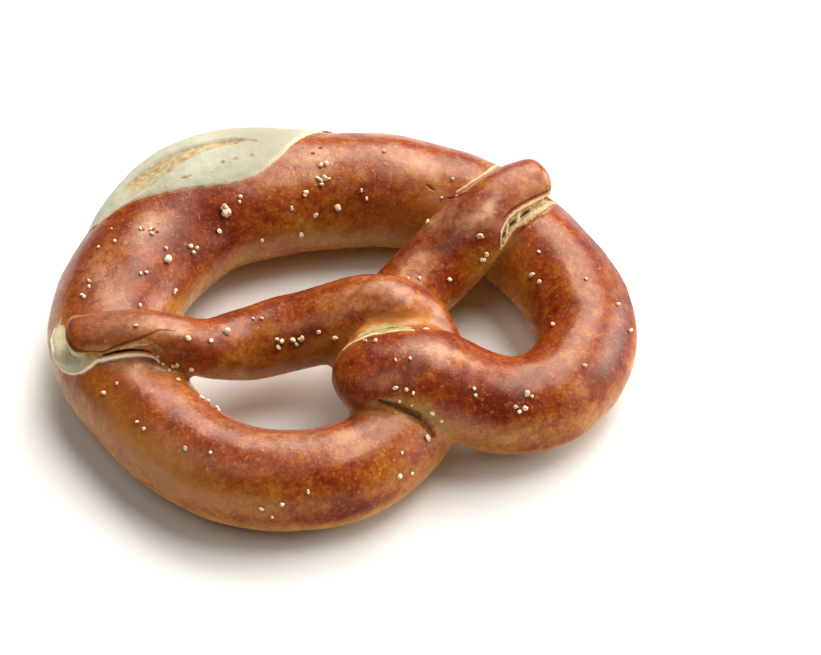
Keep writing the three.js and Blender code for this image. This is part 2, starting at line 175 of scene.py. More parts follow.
# Fine lines in and beside the tears: what they show, half width, how proud, and their points.
LINES = [
    # round the left end and along the crack under it
    ("dough", 2.6, 0, [(-74, 10.5, 27), (-74.8, 6, 27.6), (-73.9, 3, 27.2), (-71.5, 1.8, 26.2)]),
    ("dough", 1.7, 0, [(-72, 19.2, 22.3), (-73.3, 17, 22.5), (-74.3, 13.5, 22.3)]),
    ("dough", 1.6, 0, [(-71.6, 18.2, 23.1), (-71.9, 16.4, 23.3), (-72.4, 13.6, 24), (-73.2, 10, 25.4),
                       (-74.1, 7, 28), (-74.3, 4.6, 29), (-73.6, 3.3, 27.8), (-71.9, 2.8, 25.8),
                       (-69.8, 2.2, 25.3), (-68.4, 1.2, 25.8)]),
    ("dough", 1.9, 0, [(-73.9, 2.4, 25.6), (-72.5, 1.8, 24.7), (-70.7, 1.3, 24.9), (-68.6, 0.6, 26)]),
    # dark edge round the left end: burnt crust with painted shadow along it
    ("burnt_and_shade", 1.1, 0, [(-71.2, 15.6, 30.6), (-73.6, 11, 31), (-74.3, 7.5, 31.4), (-74.1, 4.8, 31),
                       (-73, 2.8, 29.8), (-70.5, 1.4, 29)]),
    ("burnt_and_shade", 0.5, 0, [(-72, 2, 29.4), (-66.9, 0.1, 29), (-63.9, -1.4, 30.9), (-60.3, -2.9, 32.5),
                       (-57.2, -3.9, 33.5), (-54.4, -4.3, 34), (-51.6, -4.6, 34.5),
                       (-48, -6.2, 33.8)]),
    ("tan", 1.0, 0.15, [(-66, 0.6, 28), (-63.8, -1.7, 30.1), (-60.6, -3.3, 31.4), (-57.5, -4.5, 32.4),
                        (-55.6, -5.4, 32.4), (-54.1, -7.2, 31.4), (-52.8, -8.5, 29.4),
                        (-52.1, -8.8, 26.5)]),
    ("straw", 0.55, 0.1, [(-62.6, -2.2, 30.4), (-60.2, -3.4, 31.2), (-57.5, -4.6, 31.9),
                          (-55.6, -5.5, 32.1)]),
    # painted shade in the gap of the crack
    ("shaded_slit", 0.5, -1.3, [(-66.5, 0, 27.8), (-63, -1.8, 29.2), (-60.3, -3.8, 30.1),
                         (-57.5, -5.5, 30.2), (-55.5, -6.8, 29.6)]),
    ("cream", 0.6, 0.3, [(-72.8, 19.8, 21.2), (-75.6, 16.1, 22), (-76.7, 11.4, 22.2),
                         (-76, 7.9, 19.9), (-74.6, 3, 21.3), (-72.5, 0.5, 23.3)]),
    ("cream", 0.8, 0.4, [(-73.4, 1.2, 22.6), (-72.5, 0.5, 23.3), (-70.4, 0.2, 24.6),
                         (-68.7, -0.1, 26.1), (-66.3, -1.4, 27.1), (-64.3, -2.4, 27.8),
                         (-61.4, -3.9, 28.7), (-58.2, -5.4, 28.9), (-55.8, -6.5, 28.4),
                         (-54.6, -7.3, 27.8), (-54, -8.1, 26.5)]),
    ("cream", 0.6, 0.35, [(-54.3, -7.6, 28.6), (-53.9, -7.9, 28.3)]),
    ("cream", 0.6, 0.35, [(-53.5, -8.8, 26.2), (-53.2, -9.1, 25.8)]),
    ("cream", 0.55, 0.3, [(-52.4, -10, 24.5), (-52.1, -10.3, 24.2)]),
    # the crack beside the right end
    ("olive", 2.2, -0.3, [(48.3, -11, 27.8), (50.8, -9.8, 29.2), (53.8, -8.3, 29.9), (57.6, -7, 30.1),
                          (61.4, -6.1, 29.9), (65.1, -4.6, 29.4)]),
    # painted shade inside the holes of the crack
    ("shaded_hollow", 0.55, -0.9, [(48.9, -10.8, 28), (50.2, -9.8, 29)]),
    ("shaded_hollow", 0.8, -1, [(52.2, -9.1, 29.6), (54.4, -7.8, 29.9)]),
    ("shaded_hollow", 0.6, -1, [(56.6, -7.4, 30), (59.6, -6.4, 30)]),
    ("shaded_hollow", 0.3, -0.4, [(61.8, -5.7, 29.8), (63.2, -5.2, 29.6)]),
    ("dough", 1.6, -2.2, [(63.8, -5.4, 29.3), (66.7, -4.2, 28.4), (68.8, -2.7, 27.3),
                          (70.4, -0.6, 26), (71.6, 2.4, 24.6)]),
    # dark edge under the right end: burnt crust with painted shadow along it
    ("burnt_and_shade", 0.6, 0, [(50.6, -7.6, 32.3), (54.8, -5.8, 32.7), (59.5, -4.3, 32.2), (64.2, -3.3, 31.6),
                       (69, -2.4, 31), (73, -0.5, 30)]),
    ("straw", 0.6, 0.25, [(47.4, -11.8, 26.6), (48.5, -10.2, 29.4), (51.1, -8.2, 31.1),
                          (54.8, -6.4, 31.5), (59.5, -4.9, 30.9), (64.2, -3.8, 30.4),
                          (68.5, -3, 29.8)]),
    ("straw", 1.15, 0.3, [(47.4, -12.1, 25.8), (50.4, -10.8, 26.8), (53.5, -9.6, 28),
                          (56.7, -8.7, 28.5), (60.1, -7.6, 28.7), (63.9, -6, 28.4),
                          (67.5, -4.2, 27.2), (71, -2.4, 25)]),
    ("straw", 0.5, 0.05, [(50.3, -10.4, 28), (51.4, -9.3, 29.6), (51.8, -7.8, 31)]),
    ("straw", 0.85, 0.05, [(55.1, -9.1, 29), (55.6, -7.9, 29.8), (56.7, -6.1, 31)]),
    ("straw", 1.2, 0.05, [(64, -5.2, 29.2), (67, -4.2, 28.6), (70, -3, 27.4)]),
    ("straw", 0.8, 0.15, [(46.6, 12.6, 26.5), (49.4, 12.5, 27.6), (52.4, 13.1, 28), (55.5, 13.9, 28),
                          (59, 15.5, 27.4), (63, 18.3, 25)]),
    # above the twist
    ("ochre", 1.6, 0, [(0.6, -23.9, 31.3), (6, -26.3, 32.6), (10.3, -28.5, 32), (12.7, -30.8, 31.6),
                       (13.6, -32.7, 30.2)]),
    ("green", 1.5, 0, [(-6.4, -29.6, 31.2), (-2.7, -28.3, 31.6), (0, -27.8, 31.4), (2.2, -28.1, 31.6),
                       (5.1, -29.3, 31.8), (7, -31.5, 32.6), (8.2, -34.4, 34.4)]),
    ("green", 1.4, 0, [(-7, -29.9, 31.4), (-4.5, -29.9, 32.3), (-1.9, -29.7, 32.7), (1.8, -30.4, 33),
                       (5.1, -31.8, 33.4), (7.8, -34.2, 34.5)]),
    ("tan", 1.0, 0, [(-12.2, -31.6, 28.4), (-10.6, -29.8, 28.9), (-8.8, -29, 30),
                     (-6.6, -28.6, 30.8)]),
    ("butter", 0.6, 0.3, [(-9.4, -30.4, 29.8), (-7.6, -30, 31), (-5.1, -30.6, 32.8),
                          (-1.9, -30.8, 33.4), (1.5, -32.2, 34.1), (5.1, -34, 34.7),
                          (8, -36.2, 35.4)]),
    ("butter", 0.6, 0.3, [(10.9, -36.4, 34.5), (12.2, -36.8, 34)]),
    # painted shade in a small gap
    ("shaded_slit", 0.3, -0.2, [(3.6, -29.5, 31.9), (6, -31, 32.4)]),
    # under the rounded bend
    ("tan", 1.9, 0.1, [(-9.5, -49.6, 30), (-6, -51.3, 30), (-2.6, -53.9, 29.2), (-0.4, -55.3, 28.2),
                       (1.8, -56.8, 26.7), (3.5, -58, 24.6), (5, -59.1, 22.5), (6.6, -59.7, 19.4)]),
    ("cream", 0.6, 0.25, [(-4.6, -52.3, 30.1), (-4.2, -52.6, 30)]),
    ("cream", 0.5, 0.25, [(-1.9, -54.2, 29), (-1.7, -54.3, 28.9)]),
    ("cream", 0.65, 0.3, [(2.4, -57, 27), (3.2, -57.5, 26.2)]),
    ("cream", 0.75, 0.35, [(4.6, -58.6, 24.3), (5, -58.8, 23.8)]),
    # painted shade in the crease under the bend
    ("crease_shade", 1.8, -0.7, [(-9, -49.4, 29.6), (-5.2, -52.6, 28.4), (-2.4, -54.6, 26.6),
                           (-0.3, -56.5, 24.6), (1.1, -58.2, 22.6), (2, -59.8, 20)]),
    # small tears in the split
    ("tan", 0.6, -0.25, [(-4.9, 53.3, 33.5), (-2.1, 53.2, 33.1), (-0.1, 52.2, 33.1),
                         (2.1, 50.7, 33.1)]),
    ("tan", 0.7, -0.2, [(-11.3, 46.6, 33.8), (-10, 46.7, 33.8)]),
    ("tan", 0.7, -0.2, [(-7.5, 46.2, 33.6), (-6.2, 46.3, 33.5)]),
    ("tan", 0.7, -0.2, [(-3.5, 45.9, 33.3), (-1.4, 45.8, 33.2)]),
    ("tan", 0.6, -0.2, [(-23.4, 46.4, 33.4), (-20.5, 46.1, 33.6)]),
    ("tan", 0.7, -0.25, [(-31, 61.8, 23.7), (-28, 63.2, 23.9), (-24.5, 64.5, 24.1)]),
    ("tan", 0.6, -0.25, [(-13, 66.3, 24.9), (-7.5, 66.2, 24.9), (-2.5, 65.4, 24.6)]),
    ("tan", 0.6, -0.2, [(-22.5, 66.9, 18.6), (-17.5, 68.5, 18.2)]),
    # folds where the right arm leaves the belly, with painted shade in them
    ("burnt_and_shade", 0.4, -0.25, [(40.2, 18.5, 27), (40.9, 17.2, 26.6), (41.6, 16, 26.4)]),
    ("burnt_and_shade", 0.45, -0.3, [(43.8, 12.3, 25.4), (45.4, 11.5, 26.4)]),
    ("burnt_and_shade", 0.35, -0.25, [(42.4, 5.9, 32.2), (43.8, 4.7, 33.2), (45.9, 3.2, 34.8)]),
    ("cream", 0.35, 0.15, [(43, 6.3, 32), (43.6, 6, 32.4)]),
    # wrinkled spots with small dimples, darkened partly by painted shadow of salt grains
    ("burnt_and_shade", 0.55, -0.4, [(-40.3, 35.8, 30.3), (-39.6, 35.5, 30.4)]),
    ("burnt_and_shade", 0.5, -0.4, [(-37.6, 34.7, 31), (-37.1, 34.3, 31.2)]),
    ("burnt_and_shade", 0.45, -0.35, [(-36.9, 33.6, 30.2), (-36.5, 33.2, 30)]),
    ("burnt_and_shade", 0.5, -0.35, [(14.7, 41.3, 31), (15.5, 41.1, 31)]),
    ("burnt_and_shade", 0.45, -0.35, [(17.6, 42.5, 30.6), (18.4, 42.3, 30.6)]),
    ("burnt_and_shade", 0.5, -0.35, [(-38.1, -5.5, 30), (-37.4, -5.8, 30)]),
]
LINE_STEP = 0.2
BLURRED_LINES = ("tan", "ochre", "olive", "crease_shade", "shaded_hollow")
EVEN_LINES = ("crease_shade", "burnt_and_shade", "shaded_slit", "cream")

# Colours of the fine lines, in the order in which they are laid on: what they show, how strong, and
# one colour, or a darker and a lighter one for the strands of dough.
LINE_COLOURS = [
    ("ochre", 0.9, (164, 96, 28)),
    ("tan", 0.9, (140, 100, 46), (192, 156, 92)),
    ("olive", 1.0, (118, 104, 66), (166, 152, 108)),
    ("dough", 1.0, (182, 168, 124), (208, 198, 162)),
    ("green", 1.0, (156, 138, 80), (192, 176, 122)),
    # painted shade inside the holes of the crack
    ("shaded_hollow", 1.0, (70, 56, 26), (104, 86, 46)),
    # dark crust, partly painted shadow along edges, in folds and beside salt
    ("burnt_and_shade", 0.8, (84, 32, 15)),
    # painted shade in the crease under the bend
    ("crease_shade", 0.95, (88, 52, 22)),
    # painted shade in narrow gaps
    ("shaded_slit", 1.0, (62, 36, 17)),
    ("straw", 1.0, (212, 182, 136)),
    ("butter", 1.0, (228, 206, 160)),
    ("cream", 1.0, (255, 242, 212)),
]
GLOSSY_LINES = ("ochre", "crease_shade", "shaded_slit")

# How dark the crust is baked at the least, how much darker where it faces up, how much lighter near
# the tray, and how much that wanders over the rope and from spot to spot.
BAKED, BAKED_ON_TOP, BAKED_LOW = 0.26, 0.47, -0.08
BAKED_BY_REGION, BAKED_BY_SPOT = 0.17, 0.05

# Patches of crust, by what they show and by rope: station, turn, reach along and round the rope, and
# how strong.
PATCHES = {
    "golden": {
        "loop": [(4.9, 158, 0.7, 16, 0.7), (5.7, 135, 0.6, 18, 0.4), (6, 148, 0.8, 18, 0.8),
                 (6.9, 62, 0.4, 22, 0.5), (7, 130, 0.7, 22, 0.5), (7.4, 90, 0.35, 16, 0.6),
                 (8.2, 140, 0.6, 20, 0.5), (15.5, 5, 0.45, 34, 0.6), (16.1, 48, 0.35, 26, 0.6),
                 (18.3, 30, 0.55, 26, 0.6), (25.3, 196, 0.5, 22, 0.5), (27.6, 40, 0.35, 30, 0.5)],
        "left": [(2.9, 126, 0.4, 16, 0.8), (9.6, 100, 0.6, 40, 0.3), (11, 100, 1, 50, 0.15)],
    },
    # darker crust: deeper browning, and painted shade where an arm or a fold shades the crust
    "dark": {
        "loop": [(2.7, 178, 0.6, 14, 0.3), (3.9, 184, 1.5, 14, 0.4), (8.8, 56, 0.5, 20, 0.2),
                 (10.3, 30, 0.6, 28, 0.25), (11.1, 2, 0.6, 20, 0.25), (11.4, 80, 0.5, 16, 0.25),
                 (11.5, 20, 0.6, 20, 0.2), (11.7, 55, 0.6, 24, 0.3), (13.3, 345, 0.8, 20, 0.25),
                 (18.3, 135, 0.6, 24, 0.3), (19.3, 148, 0.8, 20, 0.35), (20.2, 150, 1.6, 18, 0.25),
                 (22.3, 142, 0.7, 14, 0.2), (23.7, 194, 1.6, 14, 0.4), (24.6, 125, 0.9, 20, 0.3),
                 (26.6, 120, 0.6, 26, 0.15)],
        "left": [(3, 60, 0.3, 20, 0.2), (5.6, 150, 1.2, 22, 0.15), (8.9, 165, 0.6, 28, 0.35),
                 (11.6, 100, 0.6, 60, 0.2)],
        "right": [(2.7, 10, 0.3, 30, 0.25)],
    },
    # painted highlights: patches of pale sheen laid into the crust colour
    "painted_highlight": {
        "loop": [(2.65, 94, 0.5, 16, 0.6), (4, 72, 1, 14, 0.6), (5.65, 130, 0.5, 14, 0.3),
                 (6.3, 62, 1.2, 12, 0.35), (7.3, 84, 0.45, 15, 0.9), (8.7, 91, 0.5, 18, 0.5),
                 (9.4, 103, 0.5, 16, 0.5), (10.35, 82, 0.3, 10, 1), (13.95, 82, 0.35, 12, 0.9),
                 (15.6, 86, 0.5, 9, 0.7), (25.9, 90, 0.6, 8, 0.9), (26.75, 137, 0.3, 12, 0.3)],
        "left": [(3.3, 92, 0.5, 14, 0.6), (4.2, 95, 0.7, 9, 0.6), (8.4, 100, 0.5, 16, 0.5),
                 (9.55, 110, 0.7, 9, 0.9), (9.9, 108, 0.8, 26, 0.45), (10.9, 100, 0.6, 40, 0.35)],
        "right": [(2.25, 92, 0.35, 10, 0.8), (2.35, 88, 0.4, 22, 0.7), (3.6, 126, 0.5, 24, 0.8),
                  (3.95, 89, 0.35, 16, 0.4), (4.35, 62, 0.4, 20, 0.6), (4.5, 71, 0.5, 10, 0.8),
                  (6.2, 60, 0.5, 36, 0.5)],
    },
    "dull": {
        "loop": [(3.5, 182, 2, 26, 0.8), (10.3, 30, 0.6, 26, 0.6), (11.7, 55, 0.8, 26, 1),
                 (20, 155, 3, 24, 0.7), (23.8, 196, 1.6, 26, 0.8), (26.3, 140, 0.8, 26, 0.5)],
        "left": [(11, 100, 1, 40, 0.5), (12, 130, 0.5, 90, 0.6)],
        "right": [(5.6, 60, 0.8, 40, 0.4)],
    },
    # painted shade over part of the split's dough
    "painted_shade": {
        "loop": [(13.2, 112, 0.75, 45, 0.9)],
    },
}

# Salt, by rope: station, turn, reach along and round the rope, how many grains, and their size.
SALT = {
    "loop": [(11.8, 44.5, 0, 0, 1, 3.3), (11.84, 49, 0, 0, 1, 3), (10, 52, 0, 0, 1, 2.2),
             (10.15, 59, 0, 0, 1, 1.3), (10.35, 82, 0.1, 6, 3, 1.2), (10.6, 44, 0.15, 9, 3, 1.3),
             (11.3, 35, 0, 0, 1, 1.4), (9.5, 63, 0.05, 4, 2, 1.3), (9.6, 27, 0.1, 4, 2, 1.2),
             (8.85, 106, 0.25, 7, 4, 1.2), (8.65, 59, 0, 0, 1, 1.2), (9.95, 105, 0.3, 12, 3, 1),
             (12.4, 53, 0.15, 4, 2, 1.1), (12.8, 9, 0, 0, 1, 1.3), (13.55, 7, 0, 0, 1, 1.5),
             (13.3, 48, 0.1, 18, 2, 1.1), (13.85, 55, 0.25, 9, 7, 1.4), (14, 73, 0.08, 3, 2, 1.3),
             (14.2, 33, 0, 0, 1, 1.9), (13.8, 27, 0, 0, 1, 1.2), (14.6, 46, 0.2, 9, 2, 1.1),
             (15, 90, 0, 0, 1, 1.2), (16.35, 60, 0.1, 22, 3, 1.3), (17.4, 120, 0.6, 18, 3, 1.1),
             (19.4, 44, 0, 0, 1, 2.2), (19.75, 46, 0, 0, 1, 1.5), (19.05, 66, 0, 0, 1, 1.2),
             (20.25, 93, 0, 0, 1, 1.1), (21.55, 50, 0, 0, 1, 1.2), (21.6, 135, 0.9, 22, 4, 1.1),
             (24, 127, 0.35, 12, 5, 1.3), (25.2, 125, 0.15, 5, 2, 1.2), (26.5, 142, 0.25, 12, 3, 1.2),
             (26.6, 108, 0.15, 4, 2, 1.1), (27.4, 73, 0.35, 3, 2, 1.3), (6.85, 57, 0.25, 8, 4, 1.3),
             (7.2, 122, 0.25, 12, 2, 1.1), (5.9, 36, 0.3, 8, 5, 1.2), (6.1, 126, 0.25, 8, 2, 1.3),
             (5.5, 118, 0, 0, 1, 1.8), (5.15, 111, 0, 0, 1, 1.4), (4.3, 165, 0.3, 12, 3, 1.2),
             (3.65, 142, 0, 0, 1, 1.1), (2.2, 150, 0.2, 16, 3, 1.2), (1.55, 143, 0, 0, 1, 1.9)],
    "left": [(6, 138, 0.45, 18, 7, 1.5), (4.85, 152, 0, 0, 1, 1.9), (5.15, 138, 0, 0, 1, 1.3),
             (7.9, 104, 0, 0, 1, 2.1), (8.45, 122, 0.12, 4, 2, 1.6), (9.05, 121, 0, 0, 1, 1.9),
             (6.65, 98, 0.3, 6, 2, 1), (8.65, 195, 0, 0, 1, 1.2), (10.35, 109, 0, 0, 1, 1.1)],
    "right": [(3.95, 50, 0, 0, 1, 1.8), (3.7, 16, 0.1, 10, 3, 1.4), (2.6, 38, 0, 0, 1, 1.4),
              (2.05, 76, 0.12, 8, 3, 1.1), (3.4, 133, 0, 0, 1, 1.4)],
}
SALT_SUNK = 0.3
SALT_DROP = 2  # how far off the crust a grain is dropped from
# width of the painted shade round the foot of each grain
FOOT_SHADE_WIDTH = 0.9
SALT_SEED = 1712

# Lights: name, where it comes from, strength, spread in degrees and colour.
WARM, COOL = (1, 0.965, 0.91), (0.92, 0.96, 0.92)
LIGHTS = [
    ("high_softbox", (0.41, 0.02, 0.91), 2.0, 34, WARM),
    ("back_softbox", (0.45, 0.55, 0.7), 2.9, 42, WARM),
    ("right_card", (0.96, 0, 0.25), 2.5, 40, COOL),
    ("front_card", (0.85, -0.42, 0.32), 1.2, 45, WARM),
    ("left_fill", (-0.41, -0.02, 0.91), 0.5, 40, WARM),
]
ROOM_GLOW = 0.02

CAMERA_AT = (-195.8, -434.4, 533.5)
CAMERA_LOOKS = (0.3038, 0.5962, -0.7431)
CAMERA_LENS = 110.5


# ---- Rope ----

def smooth_line(points, stations, centripetal=True):
    """Points on a smooth curve through the given ones, at stations whole or between two."""
    stations = np.atleast_1d(np.asarray(stations, float))
    padded = np.vstack([2 * points[0] - points[1], points, 2 * points[-1] - points[-2]])
    first = np.clip(np.floor(stations).astype(int), 0, len(points) - 2)
    share = (stations - first)[:, None]
    before, start, end, after = (padded[first + k] for k in range(4))
    if centripetal:
        gap_before, gap, gap_after = (np.linalg.norm(b - a, axis=1, keepdims=True) ** 0.5
                                      for a, b in ((before, start), (start, end), (end, after)))
        leave = (start - before) / gap_before - (end - before) / (gap_before + gap)
        arrive = (after - end) / gap_after - (after - start) / (gap + gap_after)
        leave, arrive = leave * gap + end - start, arrive * gap + end - start
    else:
        leave, arrive = (end - before) / 2, (after - start) / 2
    rise = end - start
    return start + share * (leave + share * (3 * rise - 2 * leave - arrive
                                             + share * (leave + arrive - 2 * rise)))


def traced(through, rows):
    """A smooth line through a few points, in rows, and each row's share of the way."""
    shares = np.linspace(0, 1, rows)
    points = np.array(through, float)
    return smooth_line(points, shares * (len(points) - 1)), shares


def unit(directions):
    return directions / np.linalg.norm(directions, axis=1, keepdims=True)


def across_and_above(along):
    """Unit directions level across a line and square above it, for each of its directions."""
    side = unit(np.cross(along, (0, 0, 1)))
    return side, np.cross(side, along)


def section_matrix(side, up, along, middle):
    """Takes a unit circle in the XY plane to a section with these half axes and this middle."""
    return Matrix([*np.array((side, up, along, middle)).T.tolist(), (0, 0, 0, 1)])


class Sections:
    """Cross-sections of a rope at many stations, as arrays with one row a section."""

    STEP = 0.002  # stations on either side of a section that show which way the rope runs

    def __init__(self, rope, stations):
        rows = np.array(ROPES[rope], float)
        last = len(rows) - 1
        self.station = np.clip(np.atleast_1d(np.asarray(stations, float)), 0, last)
        self.middle = smooth_line(rows[:, :3], self.station)
        ahead = np.clip(self.station + self.STEP, 0, last)
        behind = np.clip(self.station - self.STEP, 0, last)
        step = smooth_line(rows[:, :3], ahead) - smooth_line(rows[:, :3], behind)
        length = np.linalg.norm(step, axis=1)
        self.pace = length / (ahead - behind)
        self.along = step / length[:, None]
        self.side, self.up = across_and_above(self.along)
        size = smooth_line(rows[:, 3:], self.station, centripetal=False)
        self.half_width, self.half_height = size[:, 0] / 2, size[:, 1] / 2

    def matrix(self, row, share):
        """Takes a unit circle to this section, drawn in to a share of its size."""
        return section_matrix(self.side[row] * self.half_width[row] * share,
                              self.up[row] * self.half_height[row] * share,
                              self.along[row], self.middle[row])


ROPES = {"loop": LOOP, "left": LEFT_ARM, "right": RIGHT_ARM}


def even_rows(rope, first, last, round_start, round_end):
    """Stations at even steps along a length of rope, each with its share of the full section."""
    fine = np.linspace(first, last, 1200)
    middle = Sections(rope, fine).middle
    length = np.concatenate([[0], np.cumsum(np.linalg.norm(np.diff(middle, axis=0), axis=1))])
    start, end = round_start, length[-1] - round_end
    count = round((end - start) / ROW_STEP)
    places = [(start + (end - start) * k / count, 1.0) for k in range(count + 1)]
    for k in range(END_ROWS):
        angle = math.pi / 2 * (k + 0.3) / END_ROWS
        back, share = 1 - math.cos(angle), math.sin(angle)
        if round_start:
            places.append((round_start * back, share))
        if round_end:
            places.append((length[-1] - round_end * back, share))
    return [(float(np.interp(place, length, fine)), share) for place, share in sorted(places)]


def draw_ring(bm, sides, places):
    """Draws a ring of dough from place to place, each a matrix for a unit circle, and closes it."""
    ring = bmesh.ops.create_circle(bm, cap_ends=True, segments=sides, radius=1)["verts"]
    edges = list(dict.fromkeys(e for v in ring for e in v.link_edges))
    placed = Matrix.Identity(4)
    for row, place in enumerate(places):
        if row:
            drawn = bmesh.ops.extrude_edge_only(bm, edges=edges)["geom"]
            ring = [g for g in drawn if isinstance(g, bmesh.types.BMVert)]
            edges = [e for e in drawn if isinstance(e, bmesh.types.BMEdge)
                     and all(v in ring for v in e.verts)]
        bmesh.ops.transform(bm, matrix=place @ placed.inverted(), verts=ring)
        placed = place
    bmesh.ops.edgeloop_fill(bm, edges=edges)


def lay_rope(bm, rope, first, last, round_start, round_end):
    """One length of rope, from section to section."""
    rows = even_rows(rope, first, last, round_start, round_end)
    sections = Sections(rope, [station for station, _ in rows])
    draw_ring(bm, ROPE_SIDES, [sections.matrix(row, share) for row, (_, share) in enumerate(rows)])


def thread_swell(share):
    """How full a thread of torn dough is at a share of its length."""
    return 0.15 + 0.85 * np.clip(np.sin(np.pi * share), 0, 1) ** 0.6


def lay_thread(bm, seam):
    """A thread of torn dough that swells between its two ends."""
    line, shares = traced(seam["through"], THREAD_ROWS)
    along = unit(np.gradient(line, axis=0))
    side, up = across_and_above(along)
    swell = thread_swell(shares)[:, None]
    places = zip(side * seam["width"] / 2 * swell, up * seam["height"] / 2 * swell, along, line)
    draw_ring(bm, THREAD_SIDES, [section_matrix(*place) for place in places])


def object_of(name, mesh):
    thing = bpy.data.objects.new(name, mesh)
    bpy.context.scene.collection.objects.link(thing)
    return thing


def raw_dough():
    """All lengths of rope and threads, pressed flat on the tray and risen into one skin."""
    bm = bmesh.new()
    for length in LENGTHS:
        lay_rope(bm, *length)
    for seam in SEAMS:
        lay_thread(bm, seam)
    bmesh.ops.recalc_face_normals(bm, faces=bm.faces)
    for v in bm.verts:
        v.co.z = max(v.co.z, 0.0)
    rough = bpy.data.meshes.new("rough_dough")
    bm.to_mesh(rough)
    bm.free()
    lump = object_of("rough_dough", rough)
    rise = lump.modifiers.new("rise", "REMESH")
    rise.mode = "VOXEL"
    rise.voxel_size = VOXEL
    risen = bpy.data.meshes.new_from_object(lump.evaluated_get(bpy.context.evaluated_depsgraph_get()))
    bpy.data.objects.remove(lump)
    bpy.data.meshes.remove(rough)
    return risen


# ---- Where a point of the skin lies ----

def tree_of(points):
    """A tree that finds the nearest of the given points."""
    tree = KDTree(len(points))
    for row, point in enumerate(points):
        tree.insert(point, row)
    tree.balance()
    return tree


def nearest_rows(line, points):
    tree = tree_of(line)
    return np.array([tree.find(point)[1] for point in points])


def dot(first, second):
    return np.einsum("ij,ij->i", first, second)


class Skin:
    """For points of the skin: the length of rope each lies on, its station and turn, how long one
    degree of turn is there, and the gap to the next rope."""

    SECTIONS_A_STATION = 50
    JOINED = 4  # stations on either side of the join where the loop's two lengths are one rope

    def __init__(self, points):
        count = len(points)
        rho, station, turn, radius = np.empty((4, len(LENGTHS), count))
        for k, (rope, first, last, round_start, round_end) in enumerate(LENGTHS):
            steps = int((last - first) * self.SECTIONS_A_STATION)
            sections = Sections(rope, np.linspace(first, last, steps + 1))
            near = nearest_rows(sections.middle, points)
            off = points - sections.middle[near]
            onward = dot(off, sections.along[near])
            across = dot(off, sections.side[near]) / sections.half_width[near]
            above = dot(off, sections.up[near]) / sections.half_height[near]
            starts, ends = near == 0, near == len(sections.middle) - 1
            beyond = np.where(starts | ends, onward, 0) / sections.half_width[near]
            if not round_start:
                beyond = np.where(starts, onward, beyond)
            if not round_end:
                beyond = np.where(ends, onward, beyond)
            rho[k] = np.sqrt(across ** 2 + above ** 2 + beyond ** 2)
            station[k] = np.clip(sections.station[near] + onward / sections.pace[near], first, last)
            turn[k] = np.degrees(np.arctan2(above, across)) % 360
            radius[k] = (sections.half_width[near] + sections.half_height[near]) / 2
        self.length = rho.argmin(axis=0)
        lies_on = self.length, np.arange(count)
        self.station, self.turn = station[lies_on], turn[lies_on]
        self.arc = math.radians(1) * radius[lies_on]
        others = rho.copy()
        others[lies_on] = FAR
        joined = (self.length < 2) & (np.abs(self.station - LOOP_JOIN) < self.JOINED)
        others[:2, joined] = FAR
        self.gap = (others.min(axis=0) - rho[lies_on]) * radius[lies_on]

    def on(self, rope):
        return np.isin(self.length, [k for k, length in enumerate(LENGTHS) if length[0] == rope])


def smooth_step(low, high, value):
    share = np.clip((value - low) / (high - low), 0, 1)
    return share * share * (3 - 2 * share)


def bump(value, middle, reach):
    return np.exp(-((value - middle) / reach) ** 2)


def lumpy(points, size, seed):
    """Smooth noise from -1 to 1 with lumps of about the given size."""
    shift = Vector((seed * 17.3, seed * 5.1, seed * 9.7))
    return np.array([noise.noise(Vector(point) / size + shift) for point in points])


def edge_turn(places, station):
    """The turn of an edge, given as stations and turns, at any station."""
    return np.interp(station, [s for s, _ in places], [t for _, t in places])


def past_edge(places, skin):
    """How far the skin lies past an edge of the split, measured square to the edge."""
    here, behind, ahead = (edge_turn(places, skin.station + step) for step in (0, -0.1, 0.1))
    slope = (ahead - behind) / 0.2
    return (skin.turn - here) * skin.arc / np.hypot(1, slope * skin.arc / SPLIT_PACE)


class SplitBelly:
    """Fields of the split: how far inside the crust's edge a point is, how proud the dough stands,
    and how deep in the tear along it the point lies."""

    def __init__(self, skin):
        on_loop, station = skin.on("loop"), skin.station
        spanned = on_loop & (station > SPLIT_OVER_TOP[0][0]) & (station < SPLIT_OVER_TOP[-1][0])
        inside = np.minimum(past_edge(SPLIT_OVER_TOP, skin), -past_edge(SPLIT_OUTSIDE, skin))
        self.inside = np.where(spanned, inside, -FAR)

        top, outside = edge_turn(SPLIT_OVER_TOP, station), edge_turn(SPLIT_OUTSIDE, station)
        reach = np.where(skin.turn < SPLIT_TURN, SPLIT_TURN - top, outside - SPLIT_TURN)
        share = np.abs(skin.turn - SPLIT_TURN) / np.maximum(reach, 0.5)
        along = (station - SPLIT_STATION) / SPLIT_HALF_LENGTH
        swell = np.clip(1 - along ** 2, 0, 1) ** 0.8 * (1 - 0.35 * along)
        crown = np.sqrt(np.clip(1 - share ** 2, 0, 1))
        self.proud = np.where(spanned & (share < 1), SPLIT_PROUD * swell * crown, 0)

        tear_turn = edge_turn([(at, turned) for at, turned, _ in TRENCH], station)
        tear_width = edge_turn([(at, width) for at, _, width in TRENCH], station)
        opened = smooth_step(*TRENCH_OPENS, station) * (1 - smooth_step(*TRENCH_CLOSES, station))
        aside = np.abs((skin.turn - tear_turn) * skin.arc) / tear_width * 2
        self.tear = np.where(on_loop, opened, 0) * smooth_step(1.0, 0.6, aside)


